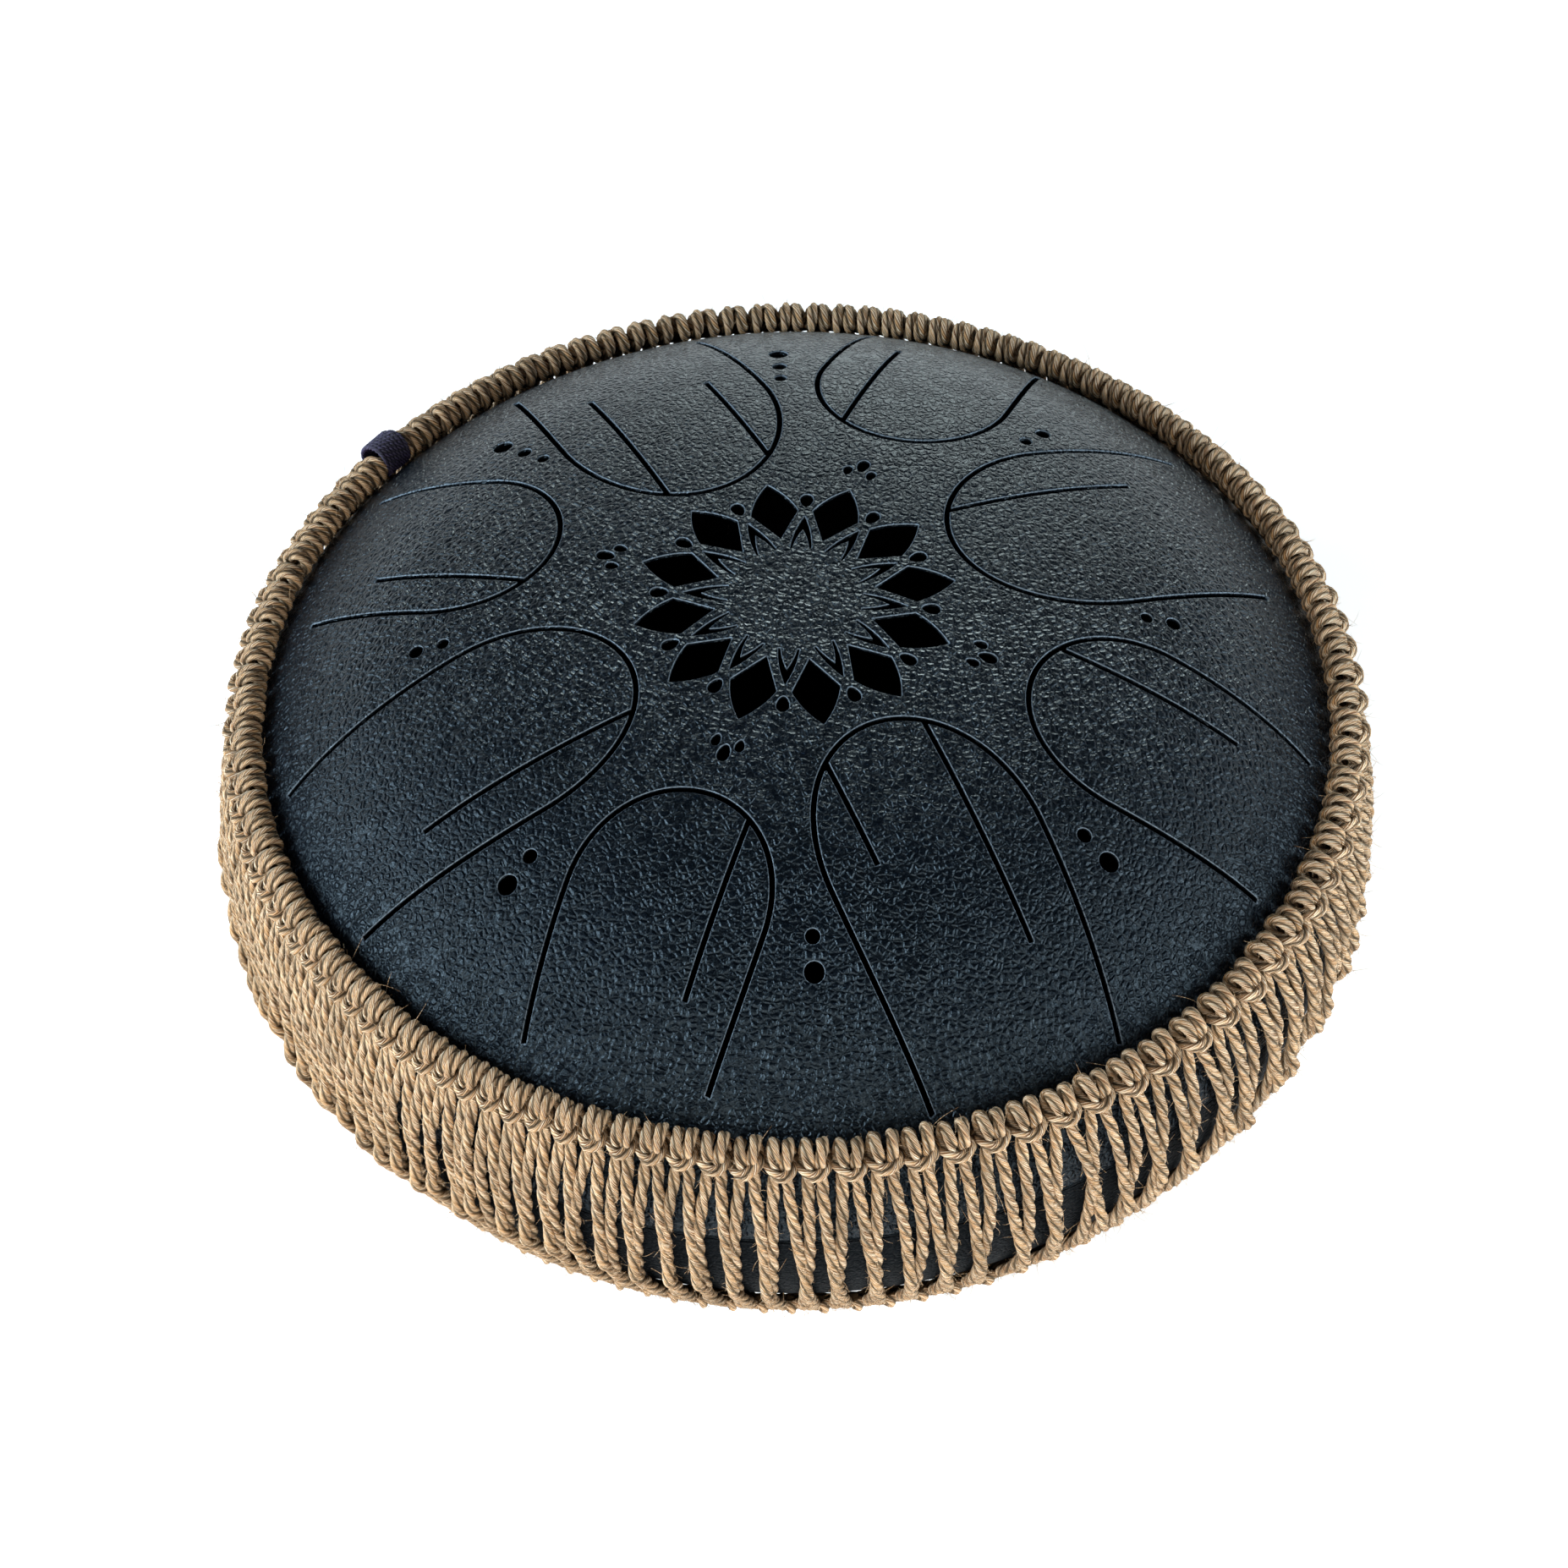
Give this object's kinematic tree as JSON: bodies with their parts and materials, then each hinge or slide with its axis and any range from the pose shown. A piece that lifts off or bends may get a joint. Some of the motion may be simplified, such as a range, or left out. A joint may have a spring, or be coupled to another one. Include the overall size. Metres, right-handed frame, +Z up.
{
  "type": "steel tongue drum",
  "caption": "Round steel tongue drum of two welded shells with cut tongues and a lotus sound opening, wrapped at the rim in a knotted jute net.",
  "frame": {"origin": "on the plane it stands on, under the middle of the drum", "axes": "+Z up through the apex of the playing shell; +Y points to the side farthest from the player, who sits at -Y"},
  "size_m": [0.411, 0.411, 0.204],
  "materials": {
    "shell_coat": "crackled leather-grain powder coat, dark navy, satin with fine bright flecks",
    "weld_coat": "rippled weld bead under the same powder coat",
    "jute_carrier": "three-ply twisted jute cord, dry and hairy",
    "jute_net": "three-ply twisted jute cord, dry and hairy",
    "black_cord": "waxed black cord whipping",
    "foot_rubber": "matt moulded rubber"
  },
  "bodies": {
    "root": {"black_tie": "black_cord", "bottom_carrier_cord": "jute_carrier", "lower_shell": "shell_coat", "net_panel_01": "jute_net", "net_panel_02": "jute_net", "net_panel_03": "jute_net", "net_panel_04": "jute_net", "net_panel_05": "jute_net", "net_panel_06": "jute_net", "net_panel_07": "jute_net", "net_panel_08": "jute_net", "net_panel_09": "jute_net", "net_panel_10": "jute_net", "net_panel_11": "jute_net", "net_panel_12": "jute_net", "rubber_foot_1": "foot_rubber", "rubber_foot_2": "foot_rubber", "rubber_foot_3": "foot_rubber", "rubber_foot_4": "foot_rubber", "top_carrier_cord": "jute_carrier", "upper_shell": "shell_coat", "weld_seam": "weld_coat"}
  },
  "joints": []
}
